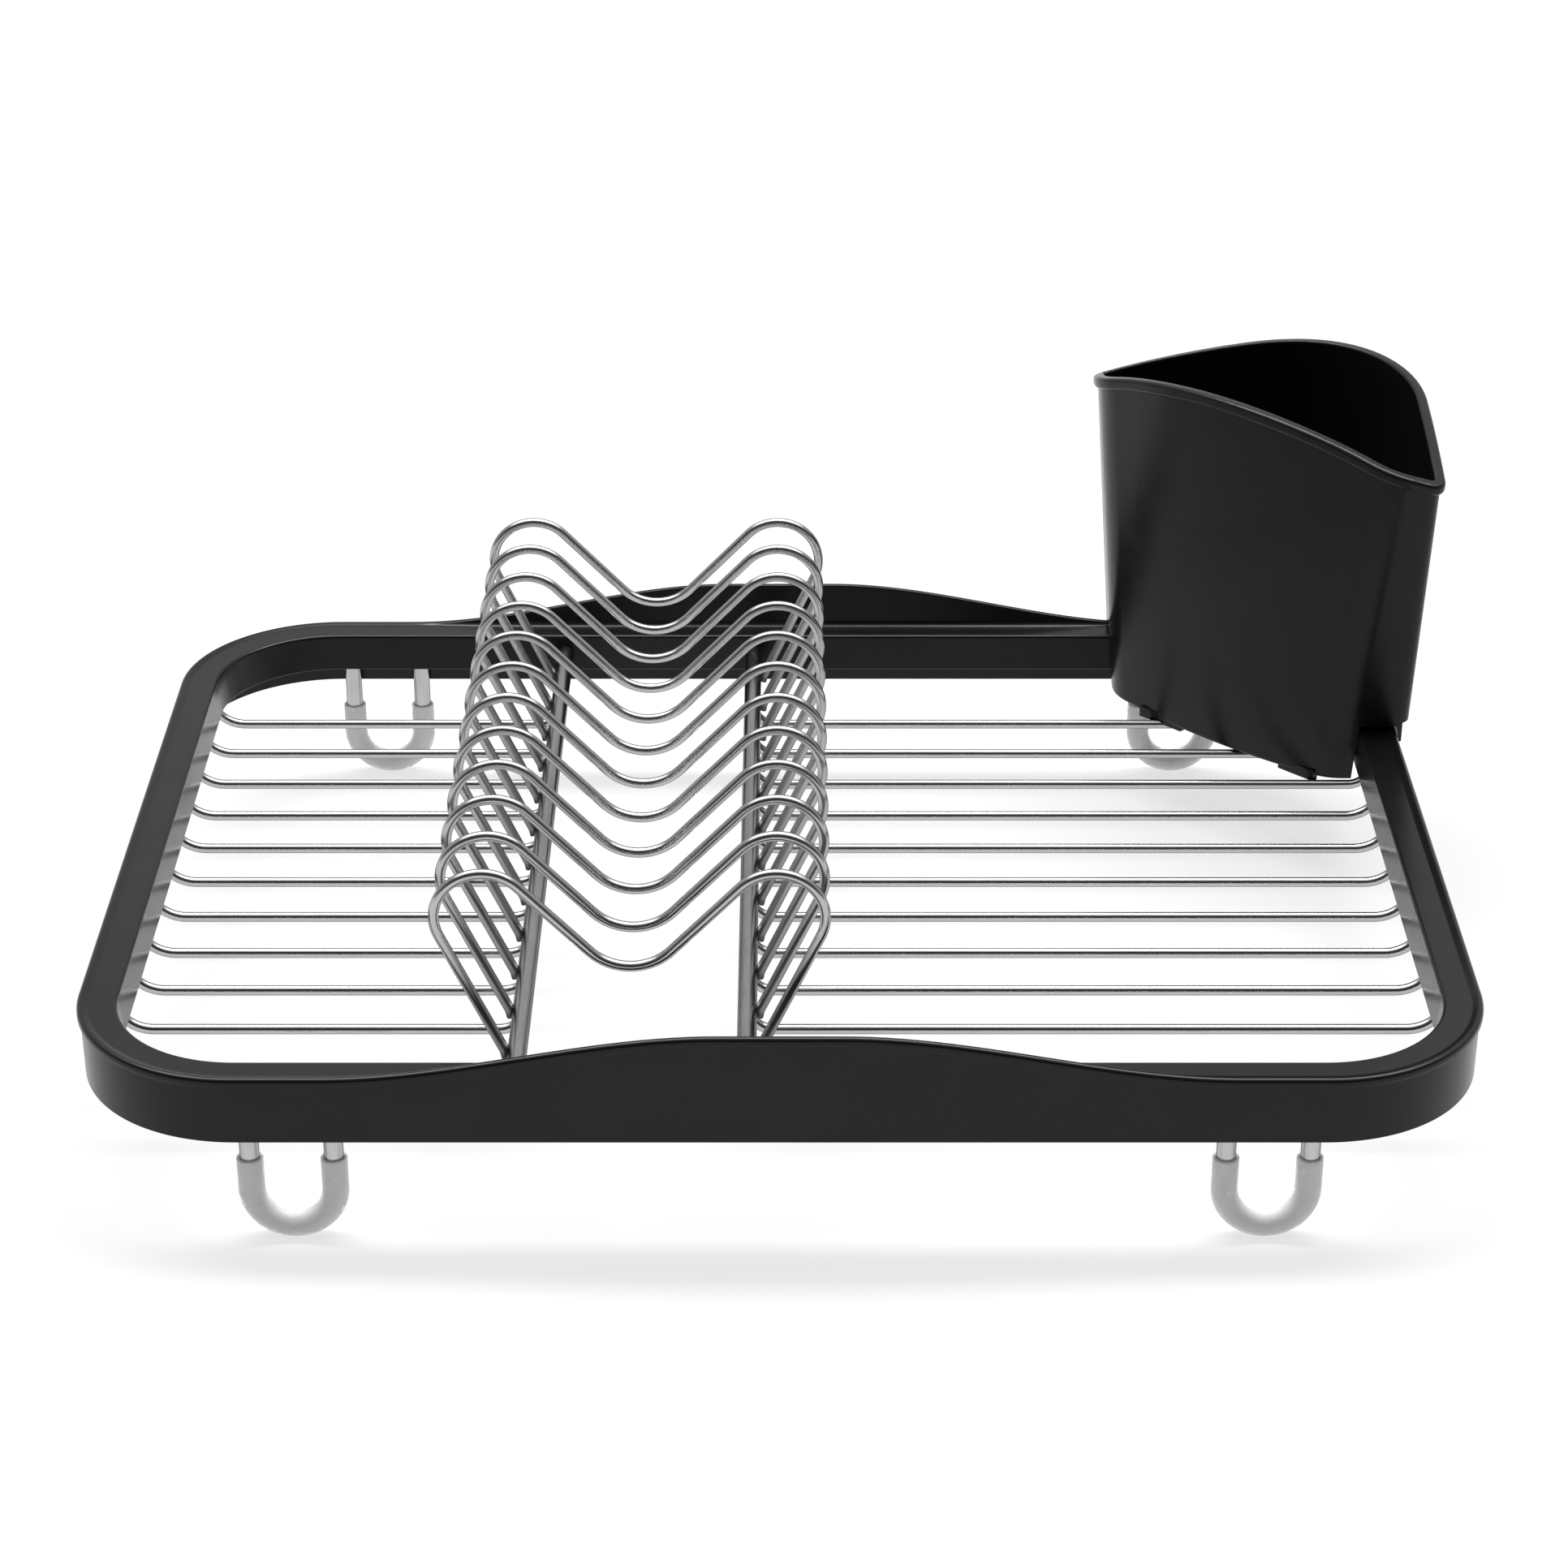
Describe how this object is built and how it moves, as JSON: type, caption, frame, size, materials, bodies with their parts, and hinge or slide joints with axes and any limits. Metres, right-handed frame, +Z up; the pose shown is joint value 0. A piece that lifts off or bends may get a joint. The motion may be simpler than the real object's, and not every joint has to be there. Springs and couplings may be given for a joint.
{
  "type": "dish drying rack",
  "caption": "Sink-size dish drying rack: black moulded rim on sleeved wire feet, tray wires, M-shaped plate wires on two rods, and a lift-off corner cutlery caddy.",
  "frame": {"origin": "bottom centre of the whole object's bounding box, on the surface the rack stands on; the centre of the rim frame is 4.2 mm to -X and 3.5 mm to -Y of it, because the caddy's rim stands past the back right corner", "axes": "+X along the long side, to the right as seen from the front; +Y to the back; +Z up"},
  "size_m": [0.3664, 0.2858, 0.1397],
  "materials": {
    "black_plastic": "satin moulded black",
    "steel_wire": "satin nickel-coloured round wire",
    "clear_sleeve": "clear, slightly milky soft sleeve"
  },
  "bodies": {
    "rack": {"foot_sleeve_back_left": "clear_sleeve", "foot_sleeve_back_right": "clear_sleeve", "foot_sleeve_front_left": "clear_sleeve", "foot_sleeve_front_right": "clear_sleeve", "foot_wire_back_left": "steel_wire", "foot_wire_back_right": "steel_wire", "foot_wire_front_left": "steel_wire", "foot_wire_front_right": "steel_wire", "perimeter_wire": "steel_wire", "plate_wire_01": "steel_wire", "plate_wire_02": "steel_wire", "plate_wire_03": "steel_wire", "plate_wire_04": "steel_wire", "plate_wire_05": "steel_wire", "plate_wire_06": "steel_wire", "plate_wire_07": "steel_wire", "plate_wire_08": "steel_wire", "plate_wire_09": "steel_wire", "plate_wire_10": "steel_wire", "plate_wire_11": "steel_wire", "plate_wire_12": "steel_wire", "rim_frame": "black_plastic", "support_rod_left": "steel_wire", "support_rod_right": "steel_wire", "tray_wire_left_01": "steel_wire", "tray_wire_left_02": "steel_wire", "tray_wire_left_03": "steel_wire", "tray_wire_left_04": "steel_wire", "tray_wire_left_05": "steel_wire", "tray_wire_left_06": "steel_wire", "tray_wire_left_07": "steel_wire", "tray_wire_left_08": "steel_wire", "tray_wire_left_09": "steel_wire", "tray_wire_left_10": "steel_wire", "tray_wire_right_01": "steel_wire", "tray_wire_right_02": "steel_wire", "tray_wire_right_03": "steel_wire", "tray_wire_right_04": "steel_wire", "tray_wire_right_05": "steel_wire", "tray_wire_right_06": "steel_wire", "tray_wire_right_07": "steel_wire", "tray_wire_right_08": "steel_wire", "tray_wire_right_09": "steel_wire", "tray_wire_right_10": "steel_wire"},
    "caddy": {"cutlery_caddy": "black_plastic"}
  },
  "joints": [
    {"name": "caddy_lift", "type": "slide", "parent": "rack", "child": "caddy", "axis": [0, 0, 1], "range_m": [0, 0.06]}
  ]
}
